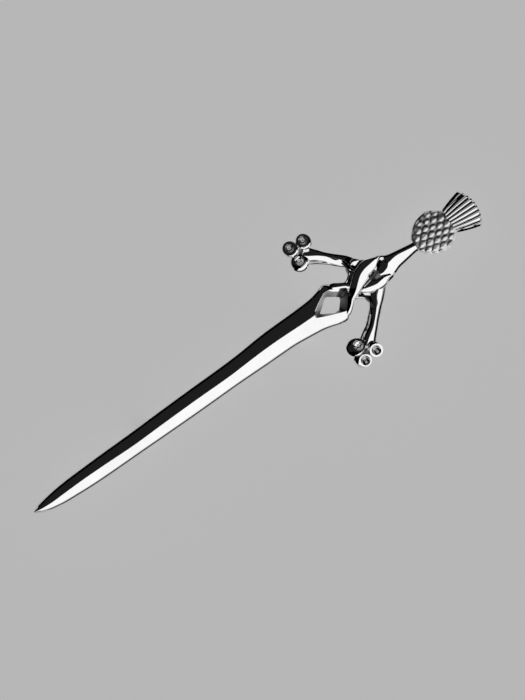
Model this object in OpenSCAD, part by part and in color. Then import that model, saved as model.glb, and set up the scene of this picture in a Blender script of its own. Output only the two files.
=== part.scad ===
// Kilt pin: a cast claymore with a thistle pommel, and the pin fitting behind its blade.
// The sword lies along X with its tip at -X and its face up; the fitting's feet stand on z = 0.

/* [Blade] */
// Length from the tip to the neck behind the shoulders
blade_l = 64.4; // [60:0.1:72]
// Width across the two shoulders beside the window
shoulder_w = 7.3; // [6.8:0.1:8]
// Distance of the blade's middle line below the line of the grip
blade_drop = 0.18; // [0:0.02:0.3]
// Height of the steep side wall of a blade edge
edge_h = 0.75; // [0.6:0.05:1]
// Rise of a polished facet for each millimetre towards its ridge
facet_rise = 0.5; // [0.4:0.01:0.6]
// Lean of a side wall, from its foot to its top
wall_lean = 0.2; // [0.1:0.02:0.3]
// Upright land at the foot of every side wall
land_h = 0.15; // [0.1:0.01:0.3]

/* [Window] */
// Length of the mouth of the window at the face
window_l = 7.2; // [6.8:0.1:7.6]
// Width of the mouth of the window at the face
window_w = 4.7; // [4:0.1:4.9]
// Metal between the window and the neck
neck_l = 0.2; // [0.1:0.05:0.6]
// Height of the plain hole under the sloping walls
window_land = 0.45; // [0.3:0.05:0.6]

/* [Knot] */
// Length from the neck to the tips of the two leaves
knot_l = 7.3; // [6.6:0.1:8.4]
// Width of the knot across its leaves
knot_w = 7; // [6.4:0.1:7.8]
// Height of the crossing, the highest point of the knot
knot_h = 2.8; // [2.4:0.1:3.4]
// Width of a leaf at its widest
leaf_w = 2.8; // [2.4:0.1:3.2]

/* [Guard] */
// Length of a guard arm from its root to the middle of its trefoil
arm_l = 9.6; // [8.5:0.1:11]
// Width of a guard arm at its waist
arm_w = 2.2; // [1.8:0.05:2.6]
// Height of a guard arm's ridge
arm_h = 1.9; // [1.5:0.1:2.4]
// Sweep of the upper arm, back towards the blade
upper_sweep = 49.5; // [42:0.5:56]
// Sweep of the lower arm, back towards the blade
lower_sweep = 47; // [42:0.5:56]

/* [Trefoils] */
// Radius of a lobe
lobe_r = 1.3; // [1.15:0.05:1.45]
// Height of a lobe's rim
lobe_h = 1.9; // [1.5:0.1:2.4]
// Depth of the pit
pit_depth = 0.6; // [0.4:0.05:0.8]
// Radius of the bead in the middle of the pit
bead_r = 0.2; // [0.16:0.02:0.3]
// Height of the bead over the floor of the pit
bead_h = 0.12; // [0.08:0.02:0.2]
// Fall of a lobe's skirt for each millimetre outwards
skirt_fall = 0.6; // [0.5:0.05:0.9]

/* [Grip] */
// Length from the leaf tips to the thistle
grip_l = 5.9; // [5:0.1:8]
// Width at the waist
grip_w = 2.35; // [2:0.05:2.8]
// Height of the ridge
grip_h = 2; // [1.6:0.1:2.4]

/* [Thistle] */
// Length of the bulb
bulb_l = 7; // [6:0.1:8]
// Width of the bulb
bulb_w = 7.2; // [6.4:0.1:8]
// Height of the bulb, without its scales
bulb_h = 2.6; // [2.2:0.1:3.2]
// Height that each scale stands out of the bulb
scale_h = 0.4; // [0.25:0.05:0.5]
// Spacing of the scales along a row
scale_pitch = 1.25; // [1.1:0.05:1.5]
// Length of the tuft
tuft_l = 5.3; // [4.6:0.1:6.4]
// Width of the tuft at its end
tuft_w = 6.9; // [6:0.1:7.8]
// Height of the tuft at its root
tuft_h = 2.2; // [1.8:0.1:2.6]
// Height of the tuft at its end
tuft_end_h = 1.7; // [1.4:0.1:2]
// Number of ribs across the tuft
rib_count = 8; // [6:1:10]
// Depth of the grooves between the ribs
groove_depth = 0.15; // [0.1:0.01:0.3]

/* [Pin fitting] */
// Clear height between the stem and the strip, where the cloth lies
cloth_gap = 4.4; // [4.2:0.1:5.5]
// Thickness of the strip behind the blade
strip_t = 0.8; // [0.6:0.1:1.2]
// Width of the strip
strip_w = 2.6; // [2.2:0.1:3]
// Diameter of the stem
stem_d = 1.2; // [1:0.1:1.5]
// Distance from the hinge pin to the middle of the catch
pin_span = 32; // [26:0.5:36]
// Width of the hinge across its cheeks
hinge_w = 4.4; // [4:0.1:4.8]
// Length of the hinge along the blade
hinge_l = 3.8; // [3.4:0.1:4.4]
// Width of the catch
catch_w = 3.4; // [3:0.1:3.8]
// Length of the catch along the blade
catch_l = 3; // [2.4:0.1:4]
// Thickness of the sheet in the cheeks and the catch
sheet_t = 0.6; // [0.5:0.05:0.8]
// Bed of adhesive between the strip and the casting
bed_t = 0.05; // [0.03:0.01:0.1]
// Distance from the window back to the hinge
hinge_back = 0.7; // [0.5:0.1:2]
// Depth that the stem and its knuckle are sunk into the catch and the hinge
seat_depth = 0.1; // [0.05:0.01:0.2]

/* [Hidden] */

metal = "silver";
steel = "gainsboro";
round_fn = 32;
lobe_fn = 28;
overlap = 0.4;
film = 0.01;
lean_limit = 0.6;

knot_x = blade_l;
grip_x = knot_x + knot_l;
bulb_x = grip_x + grip_l;
tuft_x = bulb_x + bulb_l;
overall_l = tuft_x + tuft_l;
window_x = blade_l - neck_l - window_l;
mouth_z = 2 * edge_h;

// Blade sections: place along the blade, reach to the lower and to the upper edge as shares of half the
// shoulders, side wall as a share, ridge shift as a share of half the shoulders
blade_rows = [
    [0.000, 0.05, 0.05, 0.55, 0.00],
    [0.008, 0.15, 0.12, 0.62, -0.02],
    [0.018, 0.24, 0.19, 0.70, -0.05],
    [0.039, 0.36, 0.26, 0.82, -0.08],
    [0.060, 0.43, 0.32, 0.90, -0.09],
    [0.080, 0.48, 0.36, 1.00, -0.08],
    [0.122, 0.53, 0.41, 1.00, -0.06],
    [0.163, 0.57, 0.43, 1.00, -0.05],
    [0.225, 0.59, 0.46, 1.00, -0.06],
    [0.311, 0.59, 0.48, 1.00, -0.09],
    [0.410, 0.60, 0.53, 1.00, -0.05],
    [0.510, 0.60, 0.57, 1.00, -0.02],
    [0.620, 0.58, 0.60, 1.00, -0.01],
    [0.680, 0.59, 0.65, 1.00, 0.04],
    [0.722, 0.60, 0.71, 1.00, 0.07],
    [0.764, 0.60, 0.75, 1.00, 0.08],
    [0.804, 0.61, 0.76, 1.00, 0.07],
    [0.846, 0.68, 0.77, 1.00, 0.05],
    [0.888, 0.77, 0.80, 1.00, 0.05],
    [0.908, 0.86, 0.84, 1.00, 0.06],
    [0.929, 0.97, 0.92, 1.00, 0.05],
    [0.953, 1.00, 1.00, 1.00, 0.00],
    [0.969, 0.78, 0.82, 0.95, 0.00],
    [1.000, 0.36, 0.36, 0.90, 0.00],
];

// Mouth and hole of the window: place along its length, place across as a share of half its width
mouth_rows = [
    [0.00, -0.20],
    [0.07, 0.20],
    [0.26, 0.57],
    [0.49, 0.93],
    [0.65, 0.89],
    [1.00, 0.34],
    [1.00, 0.12],
    [0.84, -0.57],
    [0.74, -0.91],
    [0.71, -1.07],
    [0.60, -0.95],
    [0.26, -0.55],
];
hole_rows = [
    [0.14, -0.13],
    [0.45, 0.58],
    [0.51, 0.58],
    [0.735, 0.08],
    [0.73, -0.09],
    [0.57, -0.66],
    [0.44, -0.68],
];
hole_round = 0.1;

// Strands of the knot, along their ridges: place along the knot, place across as a share of half its width,
// then shares of the leaf width: reach to the left, reach to the right, bevels of the left and right walls;
// last the height as a share of the knot's
over_strand = [
    [-0.42, -0.90, 0.12, 0.12, 0.07, 0.07, 0.32],
    [-0.30, -0.77, 0.20, 0.20, 0.07, 0.07, 0.50],
    [-0.18, -0.60, 0.30, 0.16, 0.07, 0.07, 0.62],
    [-0.07, -0.38, 0.38, 0.18, 0.07, 0.07, 0.76],
    [0.05, -0.23, 0.42, 0.24, 0.07, 0.07, 0.88],
    [0.16, -0.06, 0.42, 0.33, 0.07, 0.07, 0.97],
    [0.27, 0.14, 0.42, 0.44, 0.07, 0.08, 1.00],
    [0.39, 0.33, 0.42, 0.56, 0.07, 0.12, 1.00],
    [0.50, 0.43, 0.43, 0.62, 0.07, 0.22, 0.98],
    [0.61, 0.48, 0.44, 0.65, 0.07, 0.24, 0.95],
    [0.73, 0.51, 0.37, 0.56, 0.07, 0.20, 0.90],
    [0.84, 0.54, 0.24, 0.38, 0.07, 0.12, 0.82],
    [1.00, 0.57, 0.05, 0.05, 0.02, 0.02, 0.56],
];
under_strand = [
    [-0.42, 0.72, 0.14, 0.14, 0.07, 0.07, 0.32],
    [-0.29, 0.61, 0.26, 0.24, 0.07, 0.07, 0.48],
    [-0.16, 0.46, 0.25, 0.26, 0.07, 0.07, 0.56],
    [0.00, 0.28, 0.22, 0.22, 0.07, 0.07, 0.62],
    [0.16, -0.02, 0.24, 0.24, 0.07, 0.07, 0.70],
    [0.27, -0.28, 0.18, 0.24, 0.07, 0.07, 0.77],
    [0.39, -0.37, 0.27, 0.36, 0.07, 0.09, 0.82],
    [0.50, -0.43, 0.39, 0.40, 0.07, 0.12, 0.82],
    [0.61, -0.46, 0.30, 0.43, 0.07, 0.14, 0.80],
    [0.73, -0.43, 0.18, 0.45, 0.07, 0.14, 0.77],
    [0.84, -0.42, 0.10, 0.36, 0.05, 0.12, 0.72],
    [0.98, -0.50, 0.04, 0.04, 0.02, 0.02, 0.60],
];

// Curve of metal between a guard arm and the neck, along its ridge, in the same columns
root_curve = [
    [0.20, 1.44, 0.30, 0.10, 0.07, 0.05, 0.60],
    [0.235, 1.14, 0.36, 0.09, 0.07, 0.05, 0.62],
    [0.235, 0.86, 0.40, 0.09, 0.07, 0.05, 0.60],
    [0.18, 0.64, 0.36, 0.09, 0.07, 0.05, 0.58],
    [0.09, 0.49, 0.30, 0.09, 0.07, 0.05, 0.54],
    [-0.02, 0.40, 0.26, 0.09, 0.07, 0.05, 0.48],
];

// Small fold beside the upper leaf, in the same columns
root_fold = [
    [0.35, 1.00, 0.06, 0.40, 0.05, 0.04, 0.66],
    [0.39, 1.04, 0.08, 0.50, 0.06, 0.04, 0.72],
    [0.44, 1.04, 0.08, 0.48, 0.06, 0.04, 0.74],
    [0.50, 1.00, 0.08, 0.42, 0.06, 0.04, 0.72],
    [0.56, 0.95, 0.06, 0.34, 0.05, 0.04, 0.66],
];

// Web under the strands: place along the knot, half width as a share of half the knot; then its height as a
// share of the knot's, the place of its crown as a share of its half width, and its slope
web_rows = [
    [-0.04, 0.50],
    [0.10, 0.55],
    [0.17, 0.75],
    [0.20, 1.00],
    [0.50, 1.00],
    [0.60, 0.84],
    [0.76, 0.66],
    [0.96, 0.34],
];
web_h = 0.47 * knot_h;
web_crown = -0.35;
web_fall = 0.25;

// Guard arms, along their ridges: place along the arm, then shares of its waist: outer reach, inner reach,
// bevels of the outer and the inner wall, ridge shift inwards; last the height share
upper_arm = [
    [-0.26, 1.00, 0.10, 0.15, 0.05, 0.40, 1.00],
    [-0.10, 1.02, 0.12, 0.15, 0.06, 0.40, 1.02],
    [0.03, 0.97, 0.22, 0.15, 0.09, 0.24, 1.02],
    [0.12, 0.64, 0.44, 0.15, 0.15, -0.01, 1.00],
    [0.20, 0.45, 0.55, 0.15, 0.17, -0.13, 1.00],
    [0.30, 0.39, 0.58, 0.15, 0.21, -0.13, 1.00],
    [0.42, 0.35, 0.59, 0.15, 0.24, -0.11, 0.97],
    [0.56, 0.35, 0.64, 0.15, 0.29, -0.07, 0.96],
    [0.68, 0.49, 0.66, 0.15, 0.33, 0.03, 0.96],
    [0.80, 0.69, 0.63, 0.15, 0.32, 0.20, 0.97],
    [0.90, 0.72, 0.40, 0.15, 0.18, 0.30, 0.86],
];
lower_arm = [
    [-0.24, 0.68, 0.62, 0.22, 0.10, -0.02, 0.96],
    [-0.08, 0.66, 0.60, 0.22, 0.11, -0.05, 1.00],
    [0.08, 0.56, 0.62, 0.22, 0.15, -0.12, 1.00],
    [0.20, 0.41, 0.58, 0.22, 0.18, -0.20, 1.00],
    [0.31, 0.37, 0.58, 0.22, 0.28, -0.21, 0.98],
    [0.42, 0.35, 0.60, 0.22, 0.40, -0.20, 0.96],
    [0.55, 0.39, 0.61, 0.22, 0.40, -0.16, 0.95],
    [0.68, 0.52, 0.64, 0.22, 0.38, -0.03, 0.95],
    [0.80, 0.64, 0.64, 0.22, 0.34, 0.08, 0.97],
    [0.88, 0.56, 0.62, 0.14, 0.20, 0.08, 0.94],
];
arm_root = [0.41, 0.89];

// Lobes of the two trefoils: place from the end of the arm, along the sword and outwards, radii of the rim
// and the foot, shift of the foot along and outwards, fall of the rim along and outwards as slopes, radius of
// the pit; lengths are shares of the lobe's radius
upper_lobes = [
    [-0.78, 0.88, 0.92, 1.06, 0.06, -0.17, -0.08, 0.34, 0.54],
    [1.18, 0.76, 0.86, 1.06, 0.02, -0.20, 0.08, 0.34, 0.54],
    [-0.66, -1.13, 0.84, 1.20, -0.10, -0.22, -0.10, 0.24, 0.56],
];
lower_lobes = [
    [-0.42, -1.45, 0.92, 1.20, -0.44, 0.02, -0.10, -0.34, 0.64],
    [-0.76, 0.66, 0.84, 1.04, -0.32, -0.30, 0.00, 0.46, 0.60],
    [1.14, 0.38, 0.86, 1.00, -0.04, -0.18, 0.00, 0.46, 0.60],
];
hub_share = 0.8;

// Grip: place along the grip, then shares of half its waist: reach down and up from its middle line, height
// share, ridge shift; its middle line lies below the line of the blade's tip and the thistle
grip_rows = [
    [-0.28, 2.00, 1.40, 0.90, -0.36],
    [-0.18, 1.98, 1.60, 0.94, -0.43],
    [-0.08, 1.92, 1.80, 0.96, -0.32],
    [0.02, 1.82, 1.93, 0.98, -0.10],
    [0.09, 1.63, 1.68, 0.99, 0.25],
    [0.17, 1.47, 1.47, 1.00, 0.35],
    [0.31, 1.22, 1.29, 1.00, 0.46],
    [0.45, 1.10, 1.18, 1.00, 0.47],
    [0.59, 1.00, 1.07, 1.00, 0.38],
    [0.73, 0.90, 0.95, 1.00, 0.27],
    [0.87, 0.80, 0.84, 1.02, 0.17],
    [1.00, 0.78, 0.78, 1.03, 0.08],
    [1.12, 1.00, 1.00, 1.06, 0.00],
];
grip_drop = 0.16;

// Bulb: place along the bulb, half width as a share of half its width. The height of its ends is a share of
// its middle's; its low dome falls to its sides, and ends in a bevelled rim on an upright side.
bulb_rows = [
    [0.00, 0.36],
    [0.10, 0.58],
    [0.20, 0.75],
    [0.31, 0.88],
    [0.43, 0.96],
    [0.57, 1.00],
    [0.68, 0.98],
    [0.78, 0.90],
    [0.88, 0.77],
    [1.00, 0.60],
];
bulb_steps = 12;
bulb_end = 0.86;
bulb_fall = 0.25;
bulb_bend = 2.5;
bulb_rim = 0.42;
bulb_rim_slope = 0.7;

// Scale lattice: angles of its two rows to the sword, rows each way from its middle, the lean of each point
// as a share of the spacing, the part of the bulb's half width that holds the points, how far the lattice is
// set back, and the size of a scale's foot as a share of its diamond of the lattice
scale_angles = [-20, 44];
scale_ring = 5;
scale_lean = 0.2;
scale_reach = 0.93;
scale_back = 0.3;
scale_share = 0.95;

// Tuft: half width at its root as a share of half its end, how far its end bulges as a share of its length,
// the fall of its crown to its sides as a share of its height, the lean of the wall at its end, its drop
// across the sword and the bend of its sides
tuft_root = 0.6;
tuft_bulge = 0.22;
tuft_steps = 4;
tuft_fall = 0.26;
tuft_lean = 0.3;
tuft_drop = 0.13;
tuft_spread = 0.3;

mid_y = (reach(upper_sweep, upper_lobes) - reach(lower_sweep, lower_lobes)) / 2;
stem_z = sheet_t - seat_depth + stem_d / 2;
strip_z = stem_z + stem_d / 2 + cloth_gap;
back_z = strip_z + strip_t + bed_t;
hinge_x = window_x - hinge_back - hinge_l / 2;
catch_x = hinge_x - pin_span;
knuckle_d = 1.5 * stem_d;
point_d = stem_d / 4;

// Direction, root and end of a guard arm with a given sweep, on the upper side of the sword
function arm_dir(sweep) = [-cos(sweep), sin(sweep)];
function left_of(d) = [-d.y, d.x];
function arm_start() = [knot_x + arm_root.x * knot_l, arm_root.y * knot_w / 2];
function arm_end(sweep) = arm_start() + arm_l * arm_dir(sweep);

// Reach of a whole arm across the sword
function reach(sweep, lobes) =
    arm_end(sweep).y + lobe_r * max([for (r = lobes) r[1] + max(r[2], r[5] + r[3])]);

// Column c of a table at place u, on a smooth curve through its rows
function row_slope(rows, c, i) = let (a = max(i - 1, 0), b = min(i + 1, len(rows) - 1))
    (rows[b][c] - rows[a][c]) / (rows[b][0] - rows[a][0]);
function row_under(rows, u, i = 0) =
    i + 2 >= len(rows) || rows[i + 1][0] > u ? i : row_under(rows, u, i + 1);
function smooth(rows, c, u) = let (
        i = row_under(rows, u),
        span = rows[i + 1][0] - rows[i][0],
        k = (u - rows[i][0]) / span
    )
    rows[i][c] * (1 + 2 * k) * (1 - k) * (1 - k)
    + rows[i + 1][c] * k * k * (3 - 2 * k)
    + span * k * (1 - k) * ((1 - k) * row_slope(rows, c, i) - k * row_slope(rows, c, i + 1));

// Places along a table: steps of them between each two rows
function places(rows, steps) = [
    for (i = [0:len(rows) - 2]) for (k = [0:steps - 1])
        rows[i][0] + (rows[i + 1][0] - rows[i][0]) * k / steps,
    rows[len(rows) - 1][0],
];

// Top points across a ridged bar: foot, wall top, ridge, wall top, foot
function ridged(p, n, left, right, h, left_lean = wall_lean, right_lean = wall_lean) = let (
        l = left - min(left_lean, lean_limit * left),
        r = right - min(right_lean, lean_limit * right)
    )
    [
        [p.x + n.x * left, p.y + n.y * left, land_h],
        [p.x + n.x * l, p.y + n.y * l, h - facet_rise * l],
        [p.x, p.y, h],
        [p.x - n.x * r, p.y - n.y * r, h - facet_rise * r],
        [p.x - n.x * right, p.y - n.y * right, land_h],
    ];

// Direction of a path of points at its point i
function along(path, i) = let (d = path[min(i + 1, len(path) - 1)] - path[max(i - 1, 0)]) d / norm(d);

// Solid between a grid of top points and the flat back, which is one face; the first row is straight in plan
module relief(grid) {
    rows = len(grid);
    cols = len(grid[0]);
    far = cols * (rows - 1);
    inner_end = [for (j = [1:1:cols - 2]) grid[rows - 1][j]];
    feet = [for (p = concat([for (r = grid) r[0]], [for (r = grid) r[cols - 1]], inner_end)) [p.x, p.y, 0]];
    function left(i) = rows * cols + i;
    function right(i) = left(rows) + i;
    function end(j) = j == 0 ? left(rows - 1) : j == cols - 1 ? right(rows - 1) : right(rows) + j - 1;
    function quad(a, b, c, d) = [[a, c, b], [a, d, c]];
    polyhedron(concat([for (r = grid) each r], feet), concat(
        [for (i = [0:rows - 2]) for (j = [0:cols - 2]) let (a = i * cols + j)
            each quad(a, a + 1, a + cols + 1, a + cols)],
        [for (i = [0:rows - 2]) let (a = i * cols) each quad(a, a + cols, left(i + 1), left(i))],
        [for (i = [0:rows - 2]) let (a = i * cols + cols - 1)
            each quad(a + cols, a, right(i), right(i + 1))],
        [for (j = [0:cols - 2]) each quad(far + j, far + j + 1, end(j + 1), end(j))],
        [concat([for (j = [0:cols - 1]) j], [right(0), left(0)])],
        [concat([left(0)], [for (i = [0:rows - 1]) right(i)], [for (j = [cols - 2:-1:1]) end(j)],
            [for (i = [rows - 1:-1:1]) left(i)])]
    ));
}

module blade() {
    half = shoulder_w / 2;
    relief([for (r = blade_rows) let (lean = min(wall_lean, lean_limit * r[1] * half))
        ridged([r[0] * blade_l, r[4] * half - blade_drop], [0, 1], (r[2] - r[4]) * half, (r[1] + r[4]) * half,
            r[3] * edge_h + facet_rise * ((r[1] + r[2]) / 2 * half - lean))]);
}

module outline(rows, x, l, w) {
    polygon([for (r = rows) [x + r[0] * l, r[1] * w / 2]]);
}

module window_hole() {
    offset(r = hole_round, $fn = round_fn)
        offset(delta = -hole_round)
            outline(hole_rows, window_x, window_l, window_w);
}

module window_cut() {
    translate([0, 0, -overlap])
        linear_extrude(knot_h)
            window_hole();
    hull() {
        translate([0, 0, window_land])
            linear_extrude(film)
                window_hole();
        translate([0, 0, mouth_z])
            linear_extrude(film)
                outline(mouth_rows, window_x, window_l, window_w);
    }
    translate([0, 0, mouth_z])
        linear_extrude(knot_h)
            outline(mouth_rows, window_x, window_l, window_w);
}

module strand(table) {
    rows = [for (i = [0:len(table) - 1]) concat([i], table[i])];
    spots = places(rows, 2);
    path = [for (u = spots) [knot_x + smooth(rows, 1, u) * knot_l, smooth(rows, 2, u) * knot_w / 2]];
    relief([for (i = [0:len(spots) - 1]) let (s = [for (c = [3:6]) smooth(rows, c, spots[i]) * leaf_w])
        ridged(path[i], left_of(along(path, i)), s[0], s[1],
            smooth(rows, 7, spots[i]) * knot_h, s[2], s[3])]);
}

module web() {
    relief([for (r = web_rows) let (half = r[1] * knot_w / 2) [
        for (v = [1, web_crown, -1])
            [knot_x + r[0] * knot_l, v * half, web_h - web_fall * abs(v - web_crown) * half]
    ]]);
}

module guard_arm(table, sweep) {
    spots = places(table, 2);
    d = arm_dir(sweep);
    path = [for (u = spots) arm_start() + u * arm_l * d + smooth(table, 5, u) * arm_w * left_of(d)];
    relief([for (i = [0:len(spots) - 1]) let (s = [for (c = [1:4]) smooth(table, c, spots[i]) * arm_w])
        ridged(path[i], left_of(along(path, i)), s[1], s[0], smooth(table, 6, spots[i]) * arm_h,
            s[3], s[2])]);
}

// Closed solid through rings of points, from its foot to its top
module rings(loops) {
    n = len(loops[0]);
    last = (len(loops) - 1) * n;
    polyhedron([for (r = loops) each r], concat(
        [[for (k = [0:n - 1]) k]],
        [for (i = [0:len(loops) - 2]) for (k = [0:n - 1]) let (a = i * n + k, b = i * n + (k + 1) % n)
            each [[a, a + n, b + n], [a, b + n, b]]],
        [[for (k = [n - 1:-1:0]) last + k]]
    ));
}

// A lobe: a leaning rim on a wider foot, around a dished pit with a bead; row is its row of the table
module lobe(row) {
    spots = [for (k = [0:lobe_fn - 1]) [cos(360 * k / lobe_fn), sin(360 * k / lobe_fn)]];
    fall = [row[6], row[7]];
    floor_z = lobe_h - pit_depth;
    function ring(r, z) = [for (d = spots) [r * d.x, r * d.y, z - r * fall * d]];
    function flat(r, z) = [for (d = spots) [r * d.x, r * d.y, z]];
    function foot(d) = [row[4], row[5]] * lobe_r + row[3] * lobe_r * d;
    rim = ring(row[2] * lobe_r, lobe_h);
    translate([row[0], row[1]] * lobe_r)
        rings([
            [for (d = spots) [foot(d).x, foot(d).y, 0]],
            [for (k = [0:lobe_fn - 1]) let (f = foot(spots[k]))
                [f.x, f.y, rim[k].z - skirt_fall * norm(f - [rim[k].x, rim[k].y])]],
            rim,
            ring(row[8] * lobe_r, lobe_h),
            ring(bead_r, floor_z),
            flat(bead_r / 2, floor_z + bead_h),
        ]);
}

module trefoil(lobes, sweep) {
    translate(arm_end(sweep)) {
        for (row = lobes)
            lobe(row);
        cylinder(h = lobe_h - pit_depth, r = hub_share * lobe_r, $fn = lobe_fn);
    }
}

module grip() {
    half = grip_w / 2;
    relief([for (u = places(grip_rows, 2)) let (s = [for (c = [1, 2, 4]) smooth(grip_rows, c, u) * half])
        ridged([grip_x + u * grip_l, s[2] - grip_drop], [0, 1], s[1] - s[2], s[0] + s[2],
            smooth(grip_rows, 3, u) * grip_h)]);
}

// Height of the bulb at a place along it and across it
function bulb_half(u) = smooth(bulb_rows, 1, min(max(u, 0), 1)) * bulb_w / 2;
function bulb_z(u, y) = let (half = bulb_half(u), v = min(abs(y) / half, 1))
    bulb_h * (bulb_end + (1 - bulb_end) * sin(180 * min(max(u, 0), 1)))
    - bulb_fall * pow(v, bulb_bend)
    - bulb_rim_slope * max(bulb_rim - (1 - v) * half, 0);

module bulb_body() {
    relief([for (r = bulb_rows) let (half = bulb_half(r[0])) [
        for (k = [0:bulb_steps]) let (y = half * cos(180 * k / bulb_steps))
            [bulb_x + r[0] * bulb_l, y, bulb_z(r[0], y)]
    ]]);
}

// A scale: a four-sided point on its diamond of the lattice, leaning to the tuft
module bulb_scale(p, a, b) {
    u = (p.x - bulb_x) / bulb_l;
    reach_y = scale_reach * bulb_half(u);
    z = bulb_z(u, min(abs(p.y), reach_y));
    base = [for (q = [a / 2, b / 2, -a / 2, -b / 2]) let (s = p + scale_share * q)
        [s.x, s.y, bulb_z((s.x - bulb_x) / bulb_l, s.y) - film]];
    tip = [p.x + scale_lean * (a.x + b.x), p.y + scale_lean * (a.y + b.y), z + scale_h];
    hull()
        polyhedron(concat([tip, [p.x, p.y, z - scale_h]], base), [
            [0, 2, 3], [0, 3, 4], [0, 4, 5], [0, 5, 2],
            [1, 3, 2], [1, 4, 3], [1, 5, 4], [1, 2, 5],
        ]);
}

module scales() {
    a = scale_pitch * [cos(scale_angles[0]), sin(scale_angles[0])];
    b = scale_pitch * [cos(scale_angles[1]), sin(scale_angles[1])];
    for (i = [-scale_ring:scale_ring], j = [-scale_ring:scale_ring]) {
        p = [bulb_x + bulb_l / 2 - scale_back, 0] + i * a + j * b;
        u = (p.x - bulb_x) / bulb_l;
        half = u > 0 && u < 1 ? bulb_half(u) : 0;
        if (abs(p.y) < half - scale_pitch / 4)
            bulb_scale(p, a, b);
    }
}

// Tuft: ribs fan out from the bulb's neck to an end that bulges and leans
module tuft() {
    cols = 2 * rib_count;
    relief([for (i = [0:tuft_steps + 1]) let (k = min(i / tuft_steps, 1), foot = i > tuft_steps) [
        for (j = [0:cols]) let (
            v = 1 - 2 * j / cols,
            far = tuft_l * (1 - tuft_bulge * v * v) - (foot ? 0 : tuft_lean),
            half = tuft_w / 2 * (tuft_root + (1 - tuft_root) * k * (1 + tuft_spread * (1 - k))),
            crown = tuft_h + (tuft_end_h - tuft_h) * k,
            dip = j % 2 == 0 ? groove_depth : 0
        )
        [
            tuft_x - overlap + k * (far + overlap),
            v * half - tuft_drop * k,
            foot ? land_h : crown * (1 - tuft_fall * v * v) - dip,
        ]
    ]]);
}

module guard_side(table, lobes, sweep) {
    strand(root_curve);
    guard_arm(table, sweep);
    trefoil(lobes, sweep);
}

module sword_casting() {
    color(metal)
        translate([-overall_l / 2, -mid_y, back_z])
            union() {
                difference() {
                    union() {
                        blade();
                        strand(over_strand);
                        strand(under_strand);
                        web();
                    }
                    window_cut();
                }
                strand(root_fold);
                guard_side(upper_arm, upper_lobes, upper_sweep);
                mirror([0, 1, 0])
                    guard_side(lower_arm, lower_lobes, lower_sweep);
                grip();
                bulb_body();
                scales();
                tuft();
            }
}

// Strip with round ends, behind the blade
module strip() {
    translate([catch_x, -strip_w / 2, strip_z])
        cube([pin_span, strip_w, strip_t]);
    for (x = [catch_x, hinge_x])
        translate([x, 0, strip_z])
            cylinder(h = strip_t, d = strip_w, $fn = round_fn);
}

// Hinge: two cheeks on a foot, with a knuckle between them
module hinge() {
    for (y = [-hinge_w / 2, hinge_w / 2 - sheet_t])
        translate([hinge_x - hinge_l / 2, y, 0])
            cube([hinge_l, sheet_t, strip_z + strip_t]);
    translate([hinge_x - hinge_l / 2, -hinge_w / 2, 0])
        cube([hinge_l, hinge_w, sheet_t]);
    translate([hinge_x - hinge_l / 2, -hinge_w / 2, strip_z])
        cube([hinge_l, hinge_w, strip_t]);
    translate([hinge_x, hinge_w / 2 - sheet_t / 2, sheet_t - seat_depth + knuckle_d / 2])
        rotate([90, 0, 0])
            cylinder(h = hinge_w - sheet_t, d = knuckle_d, $fn = round_fn);
}

module stem() {
    translate([catch_x - catch_l / 2, 0, stem_z])
        rotate([0, 90, 0]) {
            cylinder(h = hinge_x - catch_x + catch_l / 2, d = stem_d, $fn = round_fn);
            translate([0, 0, -stem_d])
                cylinder(h = stem_d, d1 = point_d, d2 = stem_d, $fn = round_fn);
        }
}

// Catch: a sheet that comes down beside the stem, turns under it and ends in a low lip
module catch() {
    outer = catch_w / 2;
    inner = outer - sheet_t;
    translate([catch_x - catch_l / 2, 0, 0])
        rotate([90, 0, 90])
            linear_extrude(catch_l)
                polygon([
                    [-outer, 0],
                    [outer, 0],
                    [outer, strip_z + strip_t],
                    [-strip_w / 2, strip_z + strip_t],
                    [-strip_w / 2, strip_z],
                    [inner, strip_z],
                    [inner, sheet_t],
                    [-inner, sheet_t],
                    [-inner, stem_z],
                    [-outer, stem_z],
                ]);
}

module brooch_pin() {
    color(steel)
        translate([-overall_l / 2, -mid_y - blade_drop, 0])
            union() {
                strip();
                hinge();
                stem();
                catch();
            }
}

sword_casting();
brooch_pin();
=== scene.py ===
"""Kilt pin: a polished cast sword with a thistle pommel, lying face up on its pin fitting.

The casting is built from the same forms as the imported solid, with rounded ridges, bevelled edges and finer
scales. Lengths are in millimetres until it is placed in the frame: x from the tip, y from the line of the
grip, z from the back. What lies on the lower side of the guard is laid out on the upper side, and its side,
-1, flips it.
"""

import math
from collections import namedtuple

import bmesh
import bpy
import numpy as np
from mathutils import Matrix, Vector


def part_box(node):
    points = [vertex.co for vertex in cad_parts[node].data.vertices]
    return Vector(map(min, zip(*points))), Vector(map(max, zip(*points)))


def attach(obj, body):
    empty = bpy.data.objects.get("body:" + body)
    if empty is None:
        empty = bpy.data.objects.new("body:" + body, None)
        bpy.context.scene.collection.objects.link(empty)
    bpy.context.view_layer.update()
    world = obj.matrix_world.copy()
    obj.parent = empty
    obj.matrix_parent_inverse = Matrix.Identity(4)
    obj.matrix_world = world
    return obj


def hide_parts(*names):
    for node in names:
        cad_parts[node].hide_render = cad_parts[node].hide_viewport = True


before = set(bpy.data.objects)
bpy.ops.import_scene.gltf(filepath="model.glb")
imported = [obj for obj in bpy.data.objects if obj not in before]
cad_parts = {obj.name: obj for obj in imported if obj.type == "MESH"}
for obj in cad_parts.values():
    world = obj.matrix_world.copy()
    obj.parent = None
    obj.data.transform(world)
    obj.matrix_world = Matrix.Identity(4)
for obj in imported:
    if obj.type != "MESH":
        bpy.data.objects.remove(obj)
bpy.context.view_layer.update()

# Where the casting lies in the frame, in mm: its tip, its flat back and the line of its grip
MM = 0.001
low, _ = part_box("sword_casting")
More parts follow.
